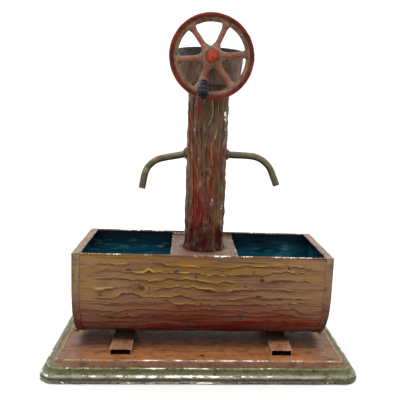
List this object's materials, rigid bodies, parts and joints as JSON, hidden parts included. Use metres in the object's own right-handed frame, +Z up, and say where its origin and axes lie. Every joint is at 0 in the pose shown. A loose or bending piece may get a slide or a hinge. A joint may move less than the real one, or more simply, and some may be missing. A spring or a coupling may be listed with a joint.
{
  "type": "toy fountain",
  "caption": "Tinplate toy village fountain: a log column with two spouts over a long round-bottomed trough, with a lift pump worked by a grooved flywheel.",
  "frame": {"origin": "middle of the base's underside, on the ground", "axes": "+X along the trough to the right, -Y to the front where the flywheel is, +Z up"},
  "size_m": [0.172, 0.096, 0.1929],
  "materials": {
    "base_paint": "worn hand-painted tinplate, brown-orange with green and silver wear",
    "trough_paint": "worn embossed wood-grain paint, ochre to dark red",
    "end_paint": "worn reddish tan paint",
    "bridge_paint": "dusty pink-tan paint",
    "bark_paint": "embossed bark, olive-brown to dark red",
    "cup_paint": "worn grey-brown paint",
    "band_paint": "nearly black paint worn to the metal",
    "old_brass": "olive-patinated brass",
    "brass": "aged brass",
    "steel": "bright drawn steel",
    "tinned_steel": "tinned sheet",
    "wheel_paint": "brick-red paint worn to olive tan",
    "grip_enamel": "glossy blue-black enamel",
    "leather": "oiled leather"
  },
  "bodies": {
    "stand": {"base_plate": "base_paint", "rail_left": "base_paint", "rail_right": "base_paint", "trough_shell": "trough_paint", "trough_end_left": "end_paint", "trough_end_right": "end_paint", "bridge_plate": "bridge_paint", "trunk_tube": "bark_paint", "head_cup": "cup_paint", "cup_band": "band_paint", "spout_left": "old_brass", "spout_right": "old_brass", "spout_collars": "bark_paint", "bearing_front": "brass", "bearing_rear": "brass", "rod_guide": "tinned_steel", "pump_barrel": "brass", "barrel_nut": "brass", "valve_seat": "brass", "valve_stop_pin": "steel", "suction_strainer": "brass"},
    "ball": {"foot_ball": "steel"},
    "crank": {"crank_axle": "steel", "flywheel": "wheel_paint", "hub_washer": "steel", "axle_collar": "brass", "collar_screw": "steel", "grip_pin": "steel"},
    "grip": {"crank_grip": "grip_enamel"},
    "rod": {"connecting_rod": "brass", "gudgeon_pin": "steel"},
    "plunger": {"plunger_fork": "brass", "plunger_rod": "steel", "piston_body": "brass", "piston_leather": "leather", "piston_nut": "brass"},
    "flap": {"piston_flap": "leather"}
  },
  "joints": [
    {"name": "wheel_spin", "type": "hinge", "parent": "stand", "child": "crank", "pos_m": [0, 0, 0.1706], "axis": [0, -1, 0], "continuous": true},
    {"name": "grip_spin", "type": "hinge", "parent": "crank", "child": "grip", "pos_m": [-0.00366, -0.0273, 0.15823], "axis": [-0.0668, -0.6428, -0.7631], "continuous": true},
    {"name": "rod_swing", "type": "hinge", "parent": "crank", "child": "rod", "pos_m": [0, 0, 0.1661], "axis": [0, -1, 0], "continuous": true},
    {"name": "plunger_lift", "type": "slide", "parent": "stand", "child": "plunger", "axis": [0, 0, 1], "range_m": [0, 0.009]},
    {"name": "flap_lift", "type": "slide", "parent": "plunger", "child": "flap", "axis": [0, 0, 1], "range_m": [0, 0.0008]},
    {"name": "ball_lift", "type": "slide", "parent": "stand", "child": "ball", "axis": [0, 0, 1], "range_m": [0, 0.001]}
  ],
  "couplings": [
    {"joint": "rod_swing", "follows": "wheel_spin", "ratio": -1}
  ]
}
